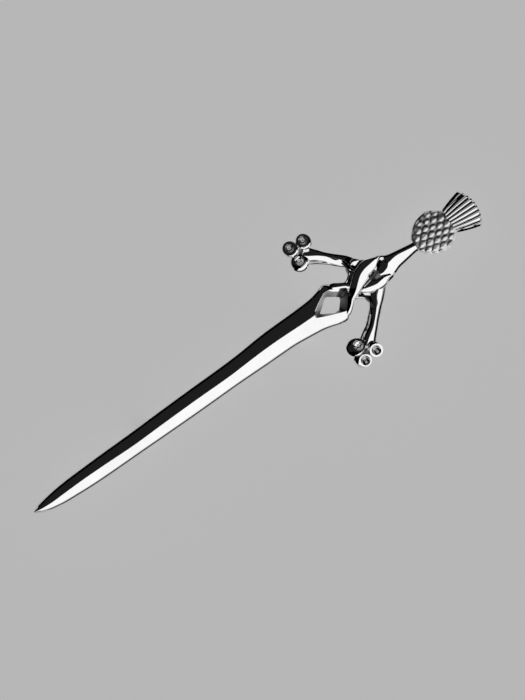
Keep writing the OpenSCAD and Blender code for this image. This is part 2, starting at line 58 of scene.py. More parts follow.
TIP_X = low.x / MM
BACK_Z = low.z / MM
GRIP_Y = -0.33

# Camera: the photo's height in pixels, its scale and turn, and where its middle lies from the frame's origin,
# in pixels; then the camera's distance in metres, the height in mm where the scale holds, sensor and clipping
IMAGE_H = 700
PIXELS_PER_MM = 6.0
TURN = math.radians(34.9)
MIDDLE_PX = (9.2, -5.84)
CAMERA_FAR = 0.9
FOCUS_Z = 8.8
SENSOR = 36.0
CLIP_NEAR, CLIP_FAR = 0.01, 20

# Light panels that stand beside the pin: side across the sword, distance, width, lower and upper edge in
# metres, radiance
PANELS = {
    "key_panel": (-1, 3.0, 11.0, 1.0, 4.6, 1.07),
    "key_skirt": (-1, 3.0, 11.0, 0.38, 1.0, 0.5),
    "back_panel": (1, 3.0, 12.0, 1.9, 6.0, 0.014),
}

# Panel above the pin, in metres, its radiance, the floor and the fill light
TOP_UP, TOP_SIZE, TOP_RADIANCE = 4.0, 2.2, 0.42
FLOOR_SIZE, FLOOR_GREY, FLOOR_GLOW, FLOOR_ROUGH = 6.0, 0.7, 0.36, 0.9
FILL_GREY = 0.16

# Metals: colour, roughness and strength of the polishing lines
POLISHED = ((0.93, 0.93, 0.93), 0.05, 0.03)
# The recess metal is really rougher, and its darker colour is painted shade for the sunken parts: the web,
# the window's walls and the trefoils' hubs
SHADED_RECESS = ((0.42, 0.42, 0.42), 0.35, 0.3)
SATIN = ((0.93, 0.93, 0.93), 0.34, 0.1)
PLATE = ((0.8, 0.8, 0.81), 0.12, 0.3)

# Haze on every metal: its noise, the part of it that shows, and how far it changes roughness and tone
HAZE_SCALE, HAZE_DETAIL, HAZE_ROUGH = 260.0, 4.0, 0.6
HAZE_LOW, HAZE_HIGH = 0.3, 0.75
CLEAR_SHARE, HAZY_SHARE = 0.7, 1.6
TONE_LOW, TONE_HIGH, TONE_SHARE = 0.25, 0.8, 0.9

# Polishing lines: noise drawn out along the sword, its detail and its depth in metres
LINE_SCALE, LINE_DETAIL, LINE_DEPTH = (400.0, 6000.0, 6000.0), 2.0, 0.00002

# Sizes of the casting; each part starts where the one before it ends
SHOULDER_W, BLADE_L, BLADE_DROP = 7.3, 64.4, 0.18
KNOT_L, KNOT_W, KNOT_H, LEAF_W = 7.3, 7.0, 2.8, 2.8
GRIP_L, GRIP_W, GRIP_H, GRIP_DROP = 5.9, 2.35, 2.0, 0.16
BULB_L, BULB_W, BULB_H = 7.0, 7.2, 2.6
TUFT_L, TUFT_W, TUFT_H, TUFT_END_H = 5.3, 6.9, 2.2, 1.7
WINDOW_L, WINDOW_W, NECK_L = 7.2, 4.7, 0.2
ARM_L, ARM_W, ARM_H = 9.6, 2.2, 1.9
UPPER_SWEEP, LOWER_SWEEP = math.radians(49.5), math.radians(47)
OVERLAP = 0.4
KNOT_X = BLADE_L
GRIP_X = KNOT_X + KNOT_L
BULB_X = GRIP_X + GRIP_L
TUFT_X = BULB_X + BULB_L
WINDOW_X = BLADE_L - NECK_L - WINDOW_L
ARM_ROOT = np.array((KNOT_X + 0.41 * KNOT_L, 0.89 * KNOT_W / 2))

# A bar's cross-section: height of a blade's edge, slope of the facets, lean of the walls, height of a wall's
# fold as a share
EDGE_H, SLOPE = 0.75, 0.5
WALL_LEAN, LEAN_SHARE = 0.05, 0.1
WALL_FOLD = 0.5

# Its bevel: width and greatest share of the reach, the two widths between which it turns from narrow to wide,
# and the slopes of its three strips, for a narrow and for a wide bevel; the dark ones are black in the photo
BEVEL_W, BEVEL_SHARE = 0.42, 0.7
NARROW_BEVEL, WIDE_BEVEL = 0.52, 0.66
BEVEL_SLOPES = [(0.76, 0.93), (0.93, 1.25), (0.97, 0.93)]
DARK_SLOPES = [(0.91, 0.91)] * 3

# How far its corners are rounded: below the facets, at a facet's edge and at the ridge; the most, as a share
# of the stretch beside the corner; places along the rounding
CORNER_CUT, FACET_CUT, RIDGE_CUT = 0.02, 0.05, 0.03
CUT_SHARE = 0.45
CUT_PLACES = (0, 1 / 3, 2 / 3, 1)

# Steps between two rows of a table; numbers that count as nothing; distances at which points and slivers are
# joined; angle from which an edge is sharp
STEPS, WEB_STEPS = 5, 2
NEAR, TINY = 1e-9, 1e-6
WELD, SLIVER = 1e-5, 1e-6
SHARP = math.radians(30)

# Blade: place, lower and upper reach, side wall, ridge; as shares of its length, half its shoulders, EDGE_H
# and half its shoulders
BLADE = [
    (0.000, 0.05, 0.05, 0.55, 0.00),
    (0.008, 0.15, 0.12, 0.62, -0.02),
    (0.018, 0.24, 0.19, 0.70, -0.05),
    (0.039, 0.36, 0.26, 0.82, -0.08),
    (0.060, 0.43, 0.32, 0.90, -0.09),
    (0.080, 0.48, 0.36, 1.00, -0.08),
    (0.122, 0.53, 0.41, 1.00, -0.06),
    (0.163, 0.57, 0.43, 1.00, -0.05),
    (0.225, 0.59, 0.46, 1.00, -0.06),
    (0.311, 0.59, 0.48, 1.00, -0.09),
    (0.410, 0.60, 0.53, 1.00, -0.05),
    (0.510, 0.60, 0.57, 1.00, -0.02),
    (0.620, 0.58, 0.60, 1.00, -0.01),
    (0.680, 0.59, 0.65, 1.00, 0.04),
    (0.722, 0.60, 0.71, 1.00, 0.07),
    (0.764, 0.60, 0.75, 1.00, 0.08),
    (0.804, 0.61, 0.76, 1.00, 0.07),
    (0.846, 0.68, 0.77, 1.00, 0.05),
    (0.888, 0.77, 0.80, 1.00, 0.05),
    (0.908, 0.86, 0.84, 1.00, 0.06),
    (0.929, 0.97, 0.92, 1.00, 0.05),
    (0.953, 1.00, 1.00, 1.00, 0.00),
    (0.969, 0.78, 0.82, 0.95, 0.00),
    (1.000, 0.36, 0.36, 0.90, 0.00),
]

# Window, from above: its mouth, the foot of its bevel, and its hole with the height of the hole's edge in mm;
# places are shares of its length and of half its width
MOUTH = [(0.00, -0.20), (0.07, 0.20), (0.26, 0.57), (0.49, 0.93), (0.65, 0.89), (1.00, 0.34), (1.00, 0.12),
         (0.84, -0.57), (0.74, -0.91), (0.71, -1.07), (0.60, -0.95), (0.26, -0.55)]
RIM = [(0.01, -0.20), (0.08, 0.19), (0.265, 0.56), (0.495, 0.92), (0.62, 0.88), (0.68, 0.68), (0.93, 0.14),
       (0.98, 0.06), (0.83, -0.57), (0.73, -0.91), (0.70, -1.05), (0.60, -0.93), (0.26, -0.53)]
HOLE = [(0.14, -0.13, 1.0), (0.45, 0.58, 1.25), (0.51, 0.58, 1.25), (0.735, 0.08, 1.3), (0.73, -0.09, 1.3),
        (0.57, -0.66, 0.8), (0.44, -0.68, 0.8)]

# Slope of its bevel, points around it, how far its cutter goes down and up, and the cutter's loop at the foot
# of the bevel
RIM_SLOPE = 0.5
WINDOW_POINTS = 80
CUT_BOTTOM, CUT_TOP = -1, 4
BEVEL_LEVEL = 2

# Strands of the knot along their ridges: along and across the knot, left and right reach, left and right
# bevel, height; as shares of its length, half its width, the leaf width and its height
OVER = [
    (-0.42, -0.90, 0.12, 0.12, 0.07, 0.07, 0.32),
    (-0.30, -0.77, 0.20, 0.20, 0.07, 0.07, 0.50),
    (-0.18, -0.60, 0.30, 0.16, 0.07, 0.07, 0.62),
    (-0.07, -0.38, 0.38, 0.18, 0.07, 0.07, 0.76),
    (0.05, -0.23, 0.42, 0.24, 0.07, 0.07, 0.88),
    (0.16, -0.06, 0.42, 0.33, 0.07, 0.07, 0.97),
    (0.27, 0.14, 0.42, 0.44, 0.07, 0.08, 1.00),
    (0.39, 0.33, 0.42, 0.56, 0.07, 0.12, 1.00),
    (0.50, 0.43, 0.42, 0.62, 0.07, 0.22, 0.98),
    (0.61, 0.48, 0.44, 0.65, 0.07, 0.24, 0.95),
    (0.73, 0.51, 0.37, 0.56, 0.07, 0.20, 0.90),
    (0.84, 0.54, 0.24, 0.38, 0.07, 0.12, 0.82),
    (1.00, 0.57, 0.05, 0.05, 0.02, 0.02, 0.56),
]
UNDER = [
    (-0.42, 0.72, 0.14, 0.14, 0.07, 0.07, 0.32),
    (-0.29, 0.61, 0.26, 0.24, 0.07, 0.07, 0.48),
    (-0.16, 0.46, 0.25, 0.26, 0.07, 0.07, 0.56),
    (0.00, 0.28, 0.22, 0.22, 0.07, 0.07, 0.62),
    (0.16, -0.02, 0.24, 0.24, 0.07, 0.07, 0.70),
    (0.27, -0.28, 0.18, 0.24, 0.07, 0.07, 0.77),
    (0.39, -0.37, 0.27, 0.36, 0.07, 0.09, 0.82),
    (0.50, -0.43, 0.39, 0.40, 0.07, 0.12, 0.82),
    (0.61, -0.46, 0.30, 0.43, 0.07, 0.14, 0.80),
    (0.73, -0.43, 0.18, 0.45, 0.07, 0.14, 0.77),
    (0.84, -0.42, 0.10, 0.36, 0.05, 0.12, 0.72),
    (0.98, -0.50, 0.04, 0.04, 0.02, 0.02, 0.60),
]

# Curve of metal between a guard arm and the neck, and small fold beside the upper leaf, in the same columns
ROOT_CURVE = [
    (0.20, 1.44, 0.30, 0.10, 0.07, 0.05, 0.60),
    (0.235, 1.14, 0.36, 0.09, 0.07, 0.05, 0.62),
    (0.235, 0.86, 0.40, 0.09, 0.07, 0.05, 0.60),
    (0.18, 0.64, 0.36, 0.09, 0.07, 0.05, 0.58),
    (0.09, 0.49, 0.30, 0.09, 0.07, 0.05, 0.54),
    (-0.02, 0.40, 0.26, 0.09, 0.07, 0.05, 0.48),
]
ROOT_FOLD = [
    (0.35, 1.00, 0.08, 0.40, 0.05, 0.04, 0.66),
    (0.39, 1.04, 0.14, 0.50, 0.06, 0.04, 0.72),
    (0.44, 1.04, 0.20, 0.48, 0.06, 0.04, 0.74),
    (0.50, 1.00, 0.18, 0.42, 0.06, 0.04, 0.72),
    (0.56, 0.95, 0.09, 0.26, 0.05, 0.04, 0.66),
]

# Web under the strands: place along the knot, half width as a share of half the knot; then the height of its
# crown, the crown's place as a share of the half width, and the slope down from it
WEB = [(-0.04, 0.50), (0.10, 0.55), (0.17, 0.75), (0.20, 1.00), (0.50, 1.00), (0.60, 0.84), (0.76, 0.66),
       (0.96, 0.34)]
WEB_H, WEB_CROWN, WEB_FALL = 0.47 * KNOT_H, -0.35, 0.25

# Guard arms along their ridges: place, outer reach, inner reach, outer bevel, inner bevel, ridge shift
# inwards, height; as shares of the arm's length, its width and its height
UPPER_ARM = [
    (-0.26, 1.00, 0.10, 0.15, 0.05, 0.40, 1.00),
    (-0.10, 1.02, 0.12, 0.15, 0.06, 0.40, 1.02),
    (0.03, 0.80, 0.22, 0.15, 0.09, 0.24, 1.02),
    (0.12, 0.60, 0.44, 0.15, 0.15, -0.01, 1.00),
    (0.20, 0.45, 0.55, 0.15, 0.17, -0.13, 1.00),
    (0.30, 0.39, 0.58, 0.15, 0.21, -0.13, 1.00),
    (0.42, 0.35, 0.59, 0.15, 0.24, -0.11, 0.97),
    (0.56, 0.35, 0.64, 0.15, 0.29, -0.07, 0.96),
    (0.68, 0.49, 0.66, 0.15, 0.33, 0.03, 0.96),
    (0.80, 0.69, 0.63, 0.15, 0.32, 0.20, 1.01),
    (0.90, 0.72, 0.40, 0.15, 0.18, 0.30, 1.02),
]
LOWER_ARM = [
    (-0.24, 0.68, 0.62, 0.22, 0.10, -0.02, 0.96),
    (-0.08, 0.66, 0.60, 0.22, 0.11, -0.05, 1.00),
    (0.08, 0.56, 0.62, 0.22, 0.15, -0.12, 1.00),
    (0.20, 0.41, 0.58, 0.22, 0.18, -0.20, 1.00),
    (0.31, 0.37, 0.58, 0.22, 0.28, -0.21, 0.98),
    (0.42, 0.35, 0.60, 0.22, 0.40, -0.20, 0.96),
    (0.55, 0.39, 0.61, 0.22, 0.40, -0.16, 0.95),
    (0.68, 0.52, 0.64, 0.22, 0.38, -0.03, 0.95),
    (0.80, 0.64, 0.64, 0.22, 0.34, 0.08, 0.97),
    (0.88, 0.56, 0.62, 0.14, 0.20, 0.08, 0.94),
]

# Lobes: place from the arm's end, radii of the ring and the base, shift of the base, slopes down of the ring
# and of the pit's floor, bend of the pit's wall, radius of the pit, rise of the ring in mm; the other lengths
# are shares of LOBE_R
Lobe = namedtuple("Lobe", [
    "along", "out", "ring", "base", "base_along", "base_out", "ring_along", "ring_out", "floor_along",
    "floor_out", "bend", "pit", "rise",
])
UPPER_LOBES = [
    Lobe(-0.78, 0.88, 0.92, 1.06, 0.06, -0.17, -0.08, 0.34, 0.00, 0.00, 2.0, 0.54, 0.00),
    Lobe(1.18, 0.76, 0.86, 1.06, 0.02, -0.20, 0.08, 0.34, 0.00, 0.00, 2.0, 0.54, 0.00),
    Lobe(-0.66, -1.13, 0.84, 1.20, -0.10, -0.22, -0.10, 0.24, 0.00, -0.40, 1.0, 0.56, 0.00),
]
LOWER_LOBES = [
    Lobe(-0.42, -1.45, 0.92, 1.20, -0.44, 0.02, -0.10, -0.34, 0.00, 0.40, 1.0, 0.64, 0.12),
    Lobe(-0.76, 0.66, 0.84, 1.04, -0.32, -0.30, 0.00, 0.46, 0.10, -0.30, 1.6, 0.60, -0.25),
    Lobe(1.14, 0.38, 0.86, 1.00, -0.04, -0.18, 0.00, 0.46, -0.10, -0.30, 1.6, 0.60, -0.10),
]
LOBE_R, LOBE_H, PIT_DEPTH, BEAD_R, BEAD_H = 1.3, 1.9, 0.6, 0.2, 0.12

# Skirt of a lobe: its slope, width of the steeper strip at its foot and its greatest share of the skirt,
# slope of that strip, places of the skirt's loops from its foot; how far the base and the ring are drawn in
SKIRT_SLOPE, SKIRT_RIM, SKIRT_RIM_SHARE, EDGE_SLOPE = 0.5, 0.28, 0.4, 0.93
SKIRT_PLACES = (1.0, 0.9, 0.8, 0.7, 0.6, 0.06)
BASE_IN, RING_IN = 0.02, 0.05

# Edge of a pit, as steps outwards and down; loops of its wall and its bead; how the ring's slope gives way to
# the floor's
PIT_EDGE = [(0.09, 0), (0.03, 0.02), (0, 0.08)]
PIT_LOOPS, BEAD_LOOPS = 6, 5
SLOPE_BLEND = 1.5
LOBE_SIDES = 64

# Hub between the lobes: radius and height of its loops
HUB = [(0.8, 0), (0.8, 0.7), (0.4, 1.0)]
HUB_SIDES = 56

# Grip: place, lower and upper reach, height, ridge; as shares of its length, half its width, its height and
# half its width; its middle line lies below y = 0
GRIP = [
    (-0.28, 2.00, 1.40, 0.90, -0.36),
    (-0.18, 1.98, 1.60, 0.94, -0.43),
    (-0.08, 1.92, 1.80, 0.96, -0.32),
    (0.02, 1.82, 1.93, 0.98, -0.10),
    (0.09, 1.63, 1.68, 0.99, 0.25),
    (0.17, 1.47, 1.47, 1.00, 0.35),
    (0.31, 1.22, 1.29, 1.00, 0.46),
    (0.45, 1.10, 1.18, 1.00, 0.47),
    (0.59, 1.00, 1.07, 1.00, 0.38),
    (0.73, 0.90, 0.95, 1.00, 0.27),
    (0.87, 0.80, 0.84, 1.02, 0.17),
    (1.00, 0.78, 0.78, 1.03, 0.08),
    (1.12, 1.00, 1.00, 1.06, 0.00),
]

# Bulb: place along it, half width as a share; then the height of its ends as a share, the fall to its sides
# and how that bends, width and slope of its rim, and points along and across it
BULB = [(0.00, 0.36), (0.10, 0.58), (0.20, 0.75), (0.31, 0.88), (0.43, 0.96), (0.57, 1.00), (0.68, 0.98),
        (0.78, 0.90), (0.88, 0.77), (1.00, 0.60)]
BULB_END, BULB_FALL, BULB_BEND, BULB_RIM, BULB_RIM_SLOPE = 0.86, 0.25, 2.5, 0.42, 0.3
BULB_GRID = 150

# Scales: height; spacing and directions of their lattice, and how far it is set back; half length, half width
# and turn of a scale; width of its edge and how much more of it lies on one side; how unlike the scales are
SCALE_H = 0.2
SCALE_PITCH, SCALE_ANGLES, SCALE_BACK = 1.25, (math.radians(-20), math.radians(46)), 0.3
SCALE_HALF_L, SCALE_HALF_W, SCALE_TURN = 0.76, 0.52, math.radians(14)
SCALE_EDGE, SCALE_SKEW = 0.65, 0.15
SCALE_ODD, ODD_ALONG, ODD_ACROSS = 0.15, 5, 11
LATTICE = SCALE_PITCH * np.array([(math.cos(w), math.sin(w)) for w in SCALE_ANGLES]).T

# Their fade: share of the height that is left at the bulb's rim and at its root, growth from the root
RIM_LEFT, ROOT_LEFT, ROOT_GROWTH = 0.1, 0.2, 8

# Tuft: half width at its root as a share, how far its sides bend out, its drop across the sword, the bulge of
# its end, the fall of its crown, its ribs and the depth of their grooves, width and slope of its side strips,
# width of its rim, rows along it and steps across a rib, and the places of the rim's rows
TUFT_ROOT, TUFT_SPREAD, TUFT_DROP, TUFT_BULGE, TUFT_FALL = 0.6, 0.3, 0.13, 0.22, 0.26
RIBS, GROOVE = 8, 0.15
TUFT_SIDE, TUFT_SIDE_SLOPE, TUFT_RIM = 0.4, 1.0, 0.3
TUFT_ROWS, RIB_STEPS = 24, 8
RIM_PLACES = [1.5, 2]


def smooth(rows, u):
    """All columns of a table at place u, on a smooth curve through its rows."""
    t = np.asarray(rows, float)
    i = int(np.clip(np.searchsorted(t[:, 0], u, side="right") - 1, 0, len(t) - 2))

    def slope(j):
        a, b = max(j - 1, 0), min(j + 1, len(t) - 1)
        return (t[b] - t[a]) / (t[b, 0] - t[a, 0])

    span = t[i + 1, 0] - t[i, 0]
    k = (u - t[i, 0]) / span
    bend = (1 - k) * slope(i) - k * slope(i + 1)
    return t[i] * (1 + 2 * k) * (1 - k) ** 2 + t[i + 1] * k * k * (3 - 2 * k) + span * k * (1 - k) * bend


def places(rows, steps):
    """Places along a table: steps of them between each two rows."""
    firsts = [r[0] for r in rows]
    spots = [a + (b - a) * k / steps for a, b in zip(firsts, firsts[1:]) for k in range(steps)]
    return spots + [firsts[-1]]


def around(sides):
    """Directions evenly spread around a circle."""
    angles = [2 * math.pi * k / sides for k in range(sides)]
    return [np.array((math.cos(a), math.sin(a))) for a in angles]


def rounded(corners, cuts):
    """A line through corners, with each inner corner replaced by a short curve."""
    pts = [np.array(c, float) for c in corners]
    line = [pts[0]]
    for a, b, c, cut in zip(pts, pts[1:], pts[2:], cuts):
        before, after = np.linalg.norm(a - b), np.linalg.norm(c - b)
        r = min(cut, CUT_SHARE * before, CUT_SHARE * after)
        p = b + (a - b) * (r / before if before else 0)
        q = b + (c - b) * (r / after if after else 0)
        for k in CUT_PLACES:
            line.append(p * (1 - k) ** 2 + b * 2 * k * (1 - k) + q * k * k)
    return line + [pts[-1]]


def bar_side(reach, bevel, slopes, h):
    """One side of a ridged bar, from its foot up its wall and its bevel to its facet, as reach and height."""
    wall = min(WALL_LEAN, LEAN_SHARE * reach)
    width = min(bevel, BEVEL_SHARE * reach)
    wide = min(max((width - NARROW_BEVEL) / (WIDE_BEVEL - NARROW_BEVEL), 0), 1)
    step = width / len(slopes)
    start = reach - wall - width
    points = [(start, h - SLOPE * start)]
    for narrow_slope, wide_slope in slopes:
        out, z = points[-1]
        points.append((out + step, z - (narrow_slope + (wide_slope - narrow_slope) * wide) * step))
    return [(reach, 0), (reach, WALL_FOLD * points[-1][1])] + points[::-1]


def ridged(p, n, left, right, h, left_bevel=BEVEL_W, right_bevel=BEVEL_W, right_slopes=BEVEL_SLOPES):
    """Points across a ridged bar at p, from foot to foot; n is the direction to its left."""
    left_side = bar_side(left, left_bevel, BEVEL_SLOPES, h)
    right_side = [(-out, z) for out, z in reversed(bar_side(right, right_bevel, right_slopes, h))]
    low_cuts = [CORNER_CUT] * (len(left_side) - 2)
    cuts = low_cuts + [FACET_CUT, RIDGE_CUT, FACET_CUT] + low_cuts
    line = rounded(left_side + [(0, h)] + right_side, cuts)
    return [(p[0] + n[0] * w, p[1] + n[1] * w, max(z, 0)) for w, z in line]


def tangents(path):
    """Directions of a path at its points."""
    d = np.gradient(np.asarray(path, float), axis=0)
    return d / np.linalg.norm(d, axis=1)[:, None]


def piece(name, verts, faces):
    """New object in the scene from points and faces."""
    mesh = bpy.data.meshes.new(name)
    mesh.from_pydata([tuple(v) for v in verts], [], faces)
    mesh.update()
    obj = bpy.data.objects.new(name, mesh)
    bpy.context.scene.collection.objects.link(obj)
    return obj


def solid(name, verts, faces):
    """Closed solid: points that meet are joined, such as those of a foot, and all faces turned outwards."""
    obj = piece(name, verts, faces)
    bm = bmesh.new()
    bm.from_mesh(obj.data)
    bmesh.ops.remove_doubles(bm, verts=bm.verts, dist=WELD)
    bmesh.ops.dissolve_degenerate(bm, edges=bm.edges, dist=SLIVER)
    bmesh.ops.recalc_face_normals(bm, faces=bm.faces)
    bm.to_mesh(obj.data)
    bm.free()
    return obj


def relief(name, grid):
    """Closed solid between a grid of top points, which runs from foot to foot, and the flat back."""
    g = np.asarray(grid, float)
    rows, cols = g.shape[:2]
    top = g.reshape(-1, 3)
    back = top * (1, 1, 0)
    under = rows * cols
    faces = []
    for i in range(rows - 1):
        for j in range(cols - 1):
            a = i * cols + j
            faces.append((a, a + cols, a + cols + 1, a + 1))
            b = under + a
            faces.append((b, b + 1, b + cols + 1, b + cols))
    for i in range(rows - 1):
        a = i * cols
        faces.append((a, under + a, under + a + cols, a + cols))
        b = a + cols - 1
        faces.append((b + cols, under + b + cols, under + b, b))
    for j in range(cols - 1):
        a = (rows - 1) * cols + j
        faces.append((j + 1, under + j + 1, under + j, j))
        faces.append((a, under + a, under + a + 1, a + 1))
    return solid(name, np.vstack([top, back]), faces)


def stacked(name, loops):
    """Closed solid through loops of points, from its bottom to its top."""
    n = len(loops[0])
    faces = [tuple(reversed(range(n)))]
    for i in range(len(loops) - 1):
        for k in range(n):
            a, b = i * n + k, i * n + (k + 1) % n
            faces.append((a, b, b + n, a + n))
    faces.append(tuple((len(loops) - 1) * n + k for k in range(n)))
    return solid(name, [p for loop in loops for p in loop], faces)


def footed(row):
    """A row of top points with both its ends carried down to the back."""
    return [(*row[0][:2], 0)] + row + [(*row[-1][:2], 0)]


def dressed(obj, *metals):
    """Gives a piece its metals."""
    for mat in metals:
        obj.data.materials.append(mat)
    return obj


def blade():
    """Ridged blade, from its tip to its neck."""
    rows = []
    for u in places(BLADE, STEPS):
        _, below, above, wall, ridge = smooth(BLADE, u)
        down, up, s = (k * SHOULDER_W / 2 for k in (below, above, ridge))
        h = wall * EDGE_H + SLOPE * (down + up) / 2
        rows.append(ridged((u * BLADE_L, s - BLADE_DROP), (0, 1), up - s, down + s, h))
    return relief("blade", rows)


def blade_top(x, y):
    """Height of the blade's facets."""
    _, below, above, _, ridge = smooth(BLADE, x / BLADE_L) * SHOULDER_W / 2
    return EDGE_H + SLOPE * ((below + above) / 2 - abs(y + BLADE_DROP - ridge))


def window_loop(rows):
    """Points evenly spread around an outline of the window, from its middle, with a height if it has one."""
    pts = np.array([(WINDOW_X + r[0] * WINDOW_L, r[1] * WINDOW_W / 2, *r[2:]) for r in rows])
    centre = np.array((WINDOW_X + WINDOW_L / 2, 0))
    made = []
    for d in around(WINDOW_POINTS):
        best, spot = 0, None
        for p, q in zip(pts, np.roll(pts, -1, axis=0)):
            m = np.array((d, (p - q)[:2])).T
            if abs(np.linalg.det(m)) < NEAR:
                continue
            t, s = np.linalg.solve(m, p[:2] - centre)
            if t > best and -NEAR <= s <= 1 + NEAR:
                best, spot = t, p + s * (q - p)
        made.append(spot)
    return made


def window_cut(polish, rough):
    """Cutter of the window: from its hole up rough walls, whose darker metal is painted shade, to a polished
    bevel at its mouth.
    """
    hole, rim, mouth = (window_loop(rows) for rows in (HOLE, RIM, MOUTH))
    mouth_z = [blade_top(*m) for m in mouth]
    rim_z = [z - RIM_SLOPE * np.linalg.norm(m - r) for z, m, r in zip(mouth_z, mouth, rim)]
    obj = dressed(stacked("window", [
        [(x, y, CUT_BOTTOM) for x, y, _ in hole],
        [(x, y, min(h, z)) for (x, y, h), z in zip(hole, rim_z)],
        [(*r, z) for r, z in zip(rim, rim_z)],
        [(*m, z) for m, z in zip(mouth, mouth_z)],
        [(*m, CUT_TOP) for m in mouth],
    ]), polish, rough)
    for face in obj.data.polygons:
        in_bevel = BEVEL_LEVEL * WINDOW_POINTS < face.index <= (BEVEL_LEVEL + 1) * WINDOW_POINTS
        face.material_index = int(not in_bevel)
    return obj


def strand(name, table, side=1):
    """A ridged bar of the knot."""
    rows = [(i, *r) for i, r in enumerate(table)]
    cols = [smooth(rows, u) for u in places(rows, STEPS)]
    path = np.array([(KNOT_X + c[1] * KNOT_L, c[2] * KNOT_W / 2) for c in cols])
    grid = []
    for p, d, c in zip(path, tangents(path), cols):
        left, right, left_bevel, right_bevel = c[3:7] * LEAF_W
        row = ridged(p, (-d[1], d[0]), left, right, c[7] * KNOT_H, left_bevel, right_bevel)
        grid.append([(x, side * y, z) for x, y, z in row])
    return relief(name, grid)


def web():
    """Sunken floor between the strands."""
    grid = []
    for u in places(WEB, WEB_STEPS):
        half = smooth(WEB, u)[1] * KNOT_W / 2
        grid.append(footed([
            (KNOT_X + u * KNOT_L, v * half, WEB_H - WEB_FALL * abs(v - WEB_CROWN) * half)
            for v in (1, WEB_CROWN, -1)
        ]))
    return relief("web", grid)


def arm_dir(sweep):
    """Direction of a guard arm, on the upper side."""
    return np.array((-math.cos(sweep), math.sin(sweep)))


def arm_end(sweep):
    """End of a guard arm, the middle of its trefoil, on the upper side."""
    return ARM_ROOT + ARM_L * arm_dir(sweep)


def guard_arm(name, table, sweep, side):
    """A ridged guard arm."""
    d = arm_dir(sweep)
    n = np.array((-d[1], d[0]))
    cols = [smooth(table, u) for u in places(table, STEPS)]
    path = np.array([ARM_ROOT + c[0] * ARM_L * d + c[5] * ARM_W * n for c in cols])
    grid = []
    for p, t, c in zip(path, tangents(path), cols):
        outer, inner, outer_bevel, inner_bevel = c[1:5] * ARM_W
        row = ridged(p, (-t[1], t[0]), inner, outer, c[6] * ARM_H, inner_bevel, outer_bevel, DARK_SLOPES)
        grid.append([(x, side * y, z) for x, y, z in row])
    return relief(name, grid)


def lobe(name, row, middle, side):
    """A lobe: a leaning flat ring with a bevelled skirt, around a pit with a bead."""
    flip = np.array((1, side))
    centre = (middle + LOBE_R * np.array((row.along, row.out))) * flip
    shift = LOBE_R * np.array((row.base_along, row.base_out)) * flip
    ring_slope = np.array((row.ring_along, row.ring_out)) * flip
    floor_slope = np.array((row.floor_along, row.floor_out)) * flip
    ring, base, pit = (LOBE_R * r for r in (row.ring, row.base, row.pit))
    top = LOBE_H + row.rise
    floor_z = top - PIT_DEPTH
    spokes = around(LOBE_SIDES)

    def level(radius, z, slope):
        """Loop on a plane that falls at a slope."""
        return [(*(centre + radius * d), z - radius * np.dot(slope, d)) for d in spokes]

    def skirt(place):
        """Loop between the ring's edge and the base."""
        made = []
        for d in spokes:
            inner, outer = ring * d, shift + base * d
            width = np.linalg.norm(outer - inner)
            steep = max((place - 1) * width + min(SKIRT_RIM, SKIRT_RIM_SHARE * width), 0)
            fall = SKIRT_SLOPE * (place * width - steep) + EDGE_SLOPE * steep
            made.append((*(centre + inner + place * (outer - inner)), top - np.dot(ring_slope, inner) - fall))
        return made

    loops = [[(*(centre + shift + (base - BASE_IN) * d), 0) for d in spokes]]
    loops += [skirt(place) for place in SKIRT_PLACES]
    loops.append(level(ring - RING_IN, top, ring_slope))
    loops += [level(pit + out, top - down, ring_slope) for out, down in PIT_EDGE]
    for k in range(1, PIT_LOOPS):
        q = k / PIT_LOOPS
        mix = (1 - q) ** SLOPE_BLEND
        rise = (PIT_DEPTH - PIT_EDGE[-1][1]) * (1 - math.sin(q * math.pi / 2)) ** row.bend
        slope = mix * ring_slope + (1 - mix) * floor_slope
        loops.append(level(pit * (1 - q) + BEAD_R * q, floor_z + rise, slope))
    for k in range(BEAD_LOOPS):
        a = math.pi / 2 * k / BEAD_LOOPS
        loops.append(level(BEAD_R * math.cos(a), floor_z + BEAD_H * math.sin(a), floor_slope))
    return stacked(name, loops)


def trefoil(name, lobes, sweep, side, polish, rough):
    """Three polished lobes around a rough hub, whose darker metal is painted shade."""
    middle = arm_end(sweep)
    x, y = middle * (1, side)
    loops = [[(x + r * dx, y + r * dy, z) for dx, dy in around(HUB_SIDES)] for r, z in HUB]
    hub = stacked(f"{name}_hub", loops)
    made = [dressed(lobe(f"{name}_{k}", row, middle, side), polish) for k, row in enumerate(lobes)]
    return made + [dressed(hub, rough)]


def grip():
    """Ridged grip, which widens where it meets the guard."""
    rows = []
    for u in places(GRIP, STEPS):
        _, below, above, h, ridge = smooth(GRIP, u)
        down, up, s = (k * GRIP_W / 2 for k in (below, above, ridge))
        p = (GRIP_X + u * GRIP_L, s - GRIP_DROP)
        rows.append(ridged(p, (0, 1), up - s, down + s, h * GRIP_H, right_slopes=DARK_SLOPES))
    return relief("grip", rows)


def bulb_dome(u, half, y):
    """Low dome of the bulb, with a bevelled rim."""
    crown = BULB_H * (BULB_END + (1 - BULB_END) * math.sin(math.pi * u))
    v = min(abs(y) / half, 1)
    rim = max(BULB_RIM - (1 - v) * half, 0)
    return crown - BULB_FALL * v ** BULB_BEND - BULB_RIM_SLOPE * rim


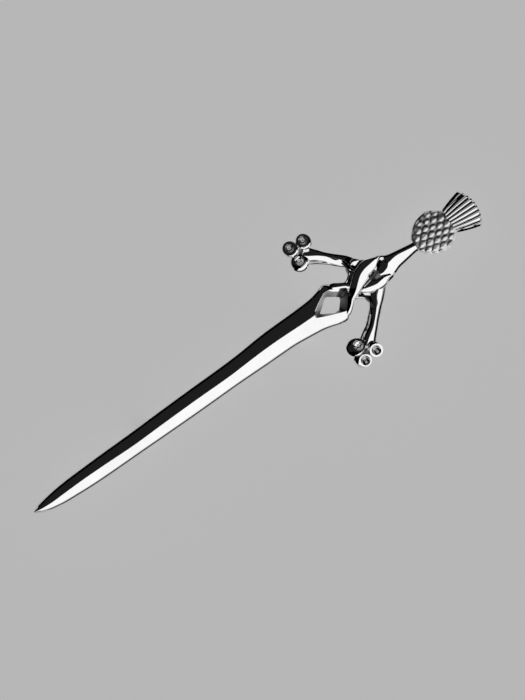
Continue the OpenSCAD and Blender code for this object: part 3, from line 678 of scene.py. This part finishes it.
def scale_rise(x, y):
    """Height of the scales on the bulb: flat-topped leaves, each turned and sized unlike the next."""
    spot = np.array((x - BULB_X - BULB_L / 2 + SCALE_BACK, y))
    near_i, near_j = np.floor(np.linalg.solve(LATTICE, spot)).astype(int)
    best = 0.0
    for i in range(near_i - 1, near_i + 3):
        for j in range(near_j - 1, near_j + 3):
            dx, dy = spot - LATTICE @ np.array((i, j))
            odd = SCALE_ODD * math.sin(ODD_ALONG * i + ODD_ACROSS * j)
            turn = SCALE_TURN + odd
            along = (dx * math.cos(turn) + dy * math.sin(turn)) / SCALE_HALF_L
            across = (dy * math.cos(turn) - dx * math.sin(turn)) / SCALE_HALF_W
            out = math.hypot(along, across)
            edge = SCALE_EDGE - SCALE_SKEW * across / max(out, TINY)
            best = max(best, SCALE_H * min((1 + odd - out) / edge, 1))
    return best


def bulb():
    """Bulb with its scales, which fade towards its rim and its root."""
    grid = []
    for i in range(BULB_GRID + 1):
        u = i / BULB_GRID
        x = BULB_X + u * BULB_L
        half = smooth(BULB, u)[1] * BULB_W / 2
        row = []
        for j in range(BULB_GRID + 1):
            v = math.cos(math.pi * j / BULB_GRID)
            y = v * half
            fade = min(1, (1 - abs(v)) * half / BULB_RIM + RIM_LEFT) * min(1, ROOT_GROWTH * u + ROOT_LEFT)
            row.append((x, y, bulb_dome(u, half, y) + fade * scale_rise(x, y)))
        grid.append(footed(row))
    return relief("bulb", grid)


def tuft_top(v, along):
    """Height of the ribbed tuft; v runs from one side, 1, to the other, -1."""
    rib = abs(math.sin(math.pi * RIBS * (1 - v) / 2))
    crown = TUFT_H + (TUFT_END_H - TUFT_H) * along
    return crown * (1 - TUFT_FALL * v * v) - GROOVE * (1 - rib)


def tuft():
    """Tuft: ribs fan out to a bulging end; places past 1 run down the rim of that end."""
    cols = RIBS * RIB_STEPS
    grid = []
    for k in [i / TUFT_ROWS for i in range(TUFT_ROWS + 1)] + RIM_PLACES:
        along, rim = min(k, 1), TUFT_RIM * max(k - 1, 0)
        half = TUFT_W / 2 * (TUFT_ROOT + (1 - TUFT_ROOT) * along * (1 + TUFT_SPREAD * (1 - along)))
        row = []
        for j in range(cols + 1):
            v = 1 - 2 * j / cols
            inner = min(abs(v), 1 - TUFT_SIDE / half)
            far = TUFT_L * (1 - TUFT_BULGE * v * v) - TUFT_RIM
            x = TUFT_X - OVERLAP + along * (far + OVERLAP) + rim
            fall = TUFT_SIDE_SLOPE * (abs(v) - inner) * half + EDGE_SLOPE * rim
            row.append((x, v * half - TUFT_DROP * along, tuft_top(math.copysign(inner, v), along) - fall))
        grid.append(footed(row))
    grid.append([(x, y, 0) for x, y, _ in grid[-1]])
    return relief("tuft", grid)


def boolean(target, tools, operation):
    """Adds tools to a solid or cuts them out of it; each keeps its metals."""
    for tool in tools:
        m = target.modifiers.new(tool.name, "BOOLEAN")
        m.operation = operation
        m.solver = "MANIFOLD"
        m.material_mode = "TRANSFER"
        m.object = tool
    bpy.context.view_layer.update()
    done = bpy.data.meshes.new_from_object(target.evaluated_get(bpy.context.evaluated_depsgraph_get()))
    target.modifiers.clear()
    target.data = done
    for tool in tools:
        bpy.data.objects.remove(tool)


def casting(polish, rough, satin):
    """The whole sword, as one closed piece."""
    body = dressed(blade(), polish)
    strands = [strand("over", OVER), strand("under", UNDER)]
    knot = [dressed(obj, polish) for obj in strands]
    # The web gets the rough recess metal, whose darker colour is painted shade
    boolean(body, knot + [dressed(web(), rough)], "UNION")
    boolean(body, [window_cut(polish, rough)], "DIFFERENCE")
    bars = [
        strand("fold", ROOT_FOLD),
        strand("upper_curve", ROOT_CURVE),
        strand("lower_curve", ROOT_CURVE, -1),
        guard_arm("upper_arm", UPPER_ARM, UPPER_SWEEP, 1),
        guard_arm("lower_arm", LOWER_ARM, LOWER_SWEEP, -1),
    ]
    tools = [dressed(obj, polish) for obj in bars]
    tools += trefoil("upper_trefoil", UPPER_LOBES, UPPER_SWEEP, 1, polish, rough)
    tools += trefoil("lower_trefoil", LOWER_LOBES, LOWER_SWEEP, -1, polish, rough)
    tools += [dressed(grip(), polish), dressed(bulb(), satin), dressed(tuft(), polish)]
    boolean(body, tools, "UNION")
    body.name = "polished_sword"
    place_in_frame(body)
    return body


def place_in_frame(obj):
    """Sets the sword in the frame, in metres, with soft shading up to its sharp edges."""
    obj.data.transform(Matrix.Translation(Vector((TIP_X, GRIP_Y, BACK_Z))))
    obj.data.transform(Matrix.Scale(MM, 4))
    obj.data.polygons.foreach_set("use_smooth", [True] * len(obj.data.polygons))
    obj.data.set_sharp_from_angle(angle=SHARP)


def metal(name, colour, roughness, grain):
    """Metal with fine polishing lines and slight haze."""
    mat = bpy.data.materials.new(name)
    mat.use_nodes = True
    nodes, links = mat.node_tree.nodes, mat.node_tree.links
    shader = nodes["Principled BSDF"]
    shader.inputs["Metallic"].default_value = 1.0

    def add(kind, **values):
        node = nodes.new(kind)
        for key, value in values.items():
            node.inputs[key].default_value = value
        return node

    place = nodes.new("ShaderNodeTexCoord")
    haze = add("ShaderNodeTexNoise", Scale=HAZE_SCALE, Detail=HAZE_DETAIL, Roughness=HAZE_ROUGH)
    links.new(place.outputs["Object"], haze.inputs["Vector"])
    rough = nodes.new("ShaderNodeMapRange")
    rough.inputs["From Min"].default_value = HAZE_LOW
    rough.inputs["From Max"].default_value = HAZE_HIGH
    rough.inputs["To Min"].default_value = roughness * CLEAR_SHARE
    rough.inputs["To Max"].default_value = roughness * HAZY_SHARE
    links.new(haze.outputs["Fac"], rough.inputs["Value"])
    links.new(rough.outputs["Result"], shader.inputs["Roughness"])

    tone = nodes.new("ShaderNodeValToRGB")
    dark, light = tone.color_ramp.elements
    dark.position, light.position = TONE_LOW, TONE_HIGH
    dark.color = (*[c * TONE_SHARE for c in colour], 1)
    light.color = (*colour, 1)
    links.new(haze.outputs["Fac"], tone.inputs["Fac"])
    links.new(tone.outputs["Color"], shader.inputs["Base Color"])

    stretch = add("ShaderNodeMapping", Scale=LINE_SCALE)
    links.new(place.outputs["Object"], stretch.inputs["Vector"])
    lines = add("ShaderNodeTexNoise", Scale=1.0, Detail=LINE_DETAIL)
    links.new(stretch.outputs["Vector"], lines.inputs["Vector"])
    bump = add("ShaderNodeBump", Strength=grain, Distance=LINE_DEPTH)
    links.new(lines.outputs["Fac"], bump.inputs["Height"])
    links.new(bump.outputs["Normal"], shader.inputs["Normal"])
    return mat


def pale_floor():
    """Matt material of the floor, with a faint glow of its own."""
    mat = bpy.data.materials.new("pale_floor")
    mat.use_nodes = True
    shader = mat.node_tree.nodes["Principled BSDF"]
    shader.inputs["Base Color"].default_value = (FLOOR_GREY,) * 3 + (1,)
    shader.inputs["Roughness"].default_value = FLOOR_ROUGH
    shader.inputs["Specular IOR Level"].default_value = 0.0
    shader.inputs["Emission Color"].default_value = (1, 1, 1, 1)
    shader.inputs["Emission Strength"].default_value = FLOOR_GLOW
    return mat


def area_light(name, where, target, size, radiance):
    """Light panel that shows in the metal and lights nothing else."""
    light = bpy.data.lights.new(name, "AREA")
    light.shape = "RECTANGLE"
    light.size, light.size_y = size
    light.energy = radiance * math.pi * size[0] * size[1]
    obj = bpy.data.objects.new(name, light)
    bpy.context.scene.collection.objects.link(obj)
    obj.location = where
    obj.rotation_euler = (Vector(target) - Vector(where)).to_track_quat("-Z", "Y").to_euler()
    obj.visible_camera = False
    obj.visible_diffuse = False


def studio():
    """Even fill light, the panels and the floor."""
    world = bpy.data.worlds.new("studio")
    world.use_nodes = True
    world.node_tree.nodes["Background"].inputs["Color"].default_value = (FILL_GREY,) * 3 + (1,)
    bpy.context.scene.world = world
    world.cycles_visibility.glossy = False
    for name, (side, far, width, bottom, top, radiance) in PANELS.items():
        middle = (bottom + top) / 2
        area_light(name, (0, side * far, middle), (0, 0, middle), (width, top - bottom), radiance)
    area_light("top_panel", (0, 0, TOP_UP), (0, 0, 0), (TOP_SIZE, TOP_SIZE), TOP_RADIANCE)

    half = FLOOR_SIZE / 2
    corners = [(-half, -half, 0), (half, -half, 0), (half, half, 0), (-half, half, 0)]
    floor = dressed(piece("floor", corners, [(0, 1, 2, 3)]), pale_floor())


def camera():
    """Straight down on the face, turned and placed as in the photo."""
    right = Vector((math.cos(TURN), -math.sin(TURN), 0))
    up = Vector((math.sin(TURN), math.cos(TURN), 0))
    middle = (MIDDLE_PX[0] * right - MIDDLE_PX[1] * up) * (MM / PIXELS_PER_MM)
    cam = bpy.data.cameras.new("camera")
    cam.sensor_width = SENSOR
    cam.lens = SENSOR * CAMERA_FAR / (IMAGE_H * MM / PIXELS_PER_MM)
    cam.clip_start, cam.clip_end = CLIP_NEAR, CLIP_FAR
    obj = bpy.data.objects.new("camera", cam)
    bpy.context.scene.collection.objects.link(obj)
    turn = Matrix((right, up, Vector((0, 0, 1)))).transposed()
    obj.matrix_world = Matrix.Translation(middle + Vector((0, 0, CAMERA_FAR + FOCUS_Z * MM))) @ turn.to_4x4()
    bpy.context.scene.camera = obj


camera()
studio()
bpy.context.scene.view_settings.view_transform = "Standard"

silver = metal("polished_silver", *POLISHED)
# Rough metal for the sunken parts, darker in colour as painted shade
shaded_recess = metal("rough_recess_painted_shade", *SHADED_RECESS)
leaves = metal("satin_leaves", *SATIN)
plate = metal("bright_plate", *PLATE)
sword = casting(silver, shaded_recess, leaves)
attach(sword, "root")
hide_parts("sword_casting")

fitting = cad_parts["brooch_pin"]
fitting.data.materials.clear()
fitting.data.materials.append(plate)
